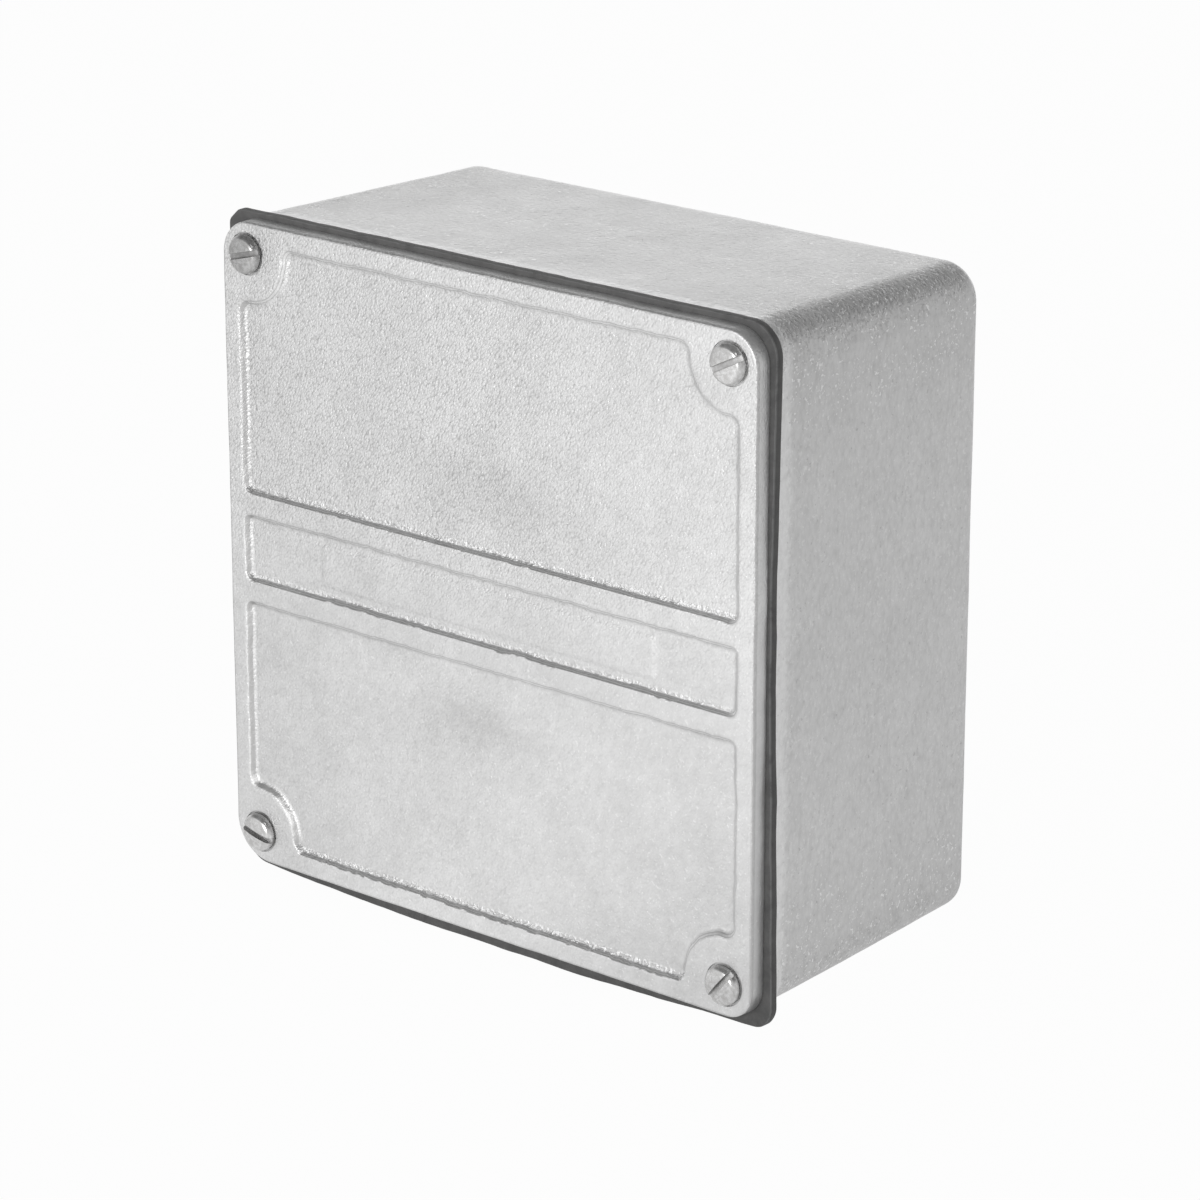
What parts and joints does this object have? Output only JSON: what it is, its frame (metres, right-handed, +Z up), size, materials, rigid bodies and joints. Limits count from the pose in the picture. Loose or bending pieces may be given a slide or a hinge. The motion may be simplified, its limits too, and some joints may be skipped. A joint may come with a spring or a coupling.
{
  "type": "junction box",
  "caption": "Square cast wall box with an open drafted shell, a flat screwed-down lid with sunk panels, a rubber gasket and an inside earth terminal.",
  "frame": {"origin": "centre of the flat back face, which goes against the wall", "axes": "+Y out of the back face towards the wall, so the lid faces -Y; +X to the right seen from the front; +Z up"},
  "size_m": [0.2081, 0.1074, 0.2088],
  "materials": {
    "galvanised_iron": "hot-dip galvanised casting, fine orange-peel skin, satin",
    "gasket_rubber": "matt dark grey sheet rubber",
    "plated_steel": "bright zinc plate over turned steel",
    "brass": "plain turned brass"
  },
  "bodies": {
    "box": {"box_body": "galvanised_iron", "earth_washer": "brass"},
    "cover": {"lid": "galvanised_iron", "gasket": "gasket_rubber"},
    "earth_fixing": {"earth_screw": "brass"},
    "fixing_top_left": {"lid_screw_top_left": "plated_steel"},
    "fixing_top_right": {"lid_screw_top_right": "plated_steel"},
    "fixing_bottom_left": {"lid_screw_bottom_left": "plated_steel"},
    "fixing_bottom_right": {"lid_screw_bottom_right": "plated_steel"}
  },
  "joints": [
    {"name": "cover_lift_off", "type": "slide", "parent": "box", "child": "cover", "axis": [0, -1, 0], "range_m": [0, 0.12]},
    {"name": "earth_screw_turn", "type": "hinge", "parent": "box", "child": "earth_fixing", "pos_m": [-0.05982, -0.0127, -0.05982], "axis": [0, -1, 0], "continuous": true},
    {"name": "screw_turn_top_left", "type": "hinge", "parent": "cover", "child": "fixing_top_left", "pos_m": [-0.09115, -0.1039, 0.09115], "axis": [0, -1, 0], "continuous": true},
    {"name": "screw_turn_top_right", "type": "hinge", "parent": "cover", "child": "fixing_top_right", "pos_m": [0.09115, -0.1039, 0.09115], "axis": [0, -1, 0], "continuous": true},
    {"name": "screw_turn_bottom_left", "type": "hinge", "parent": "cover", "child": "fixing_bottom_left", "pos_m": [-0.09115, -0.1039, -0.09115], "axis": [0, -1, 0], "continuous": true},
    {"name": "screw_turn_bottom_right", "type": "hinge", "parent": "cover", "child": "fixing_bottom_right", "pos_m": [0.09115, -0.1039, -0.09115], "axis": [0, -1, 0], "continuous": true}
  ]
}
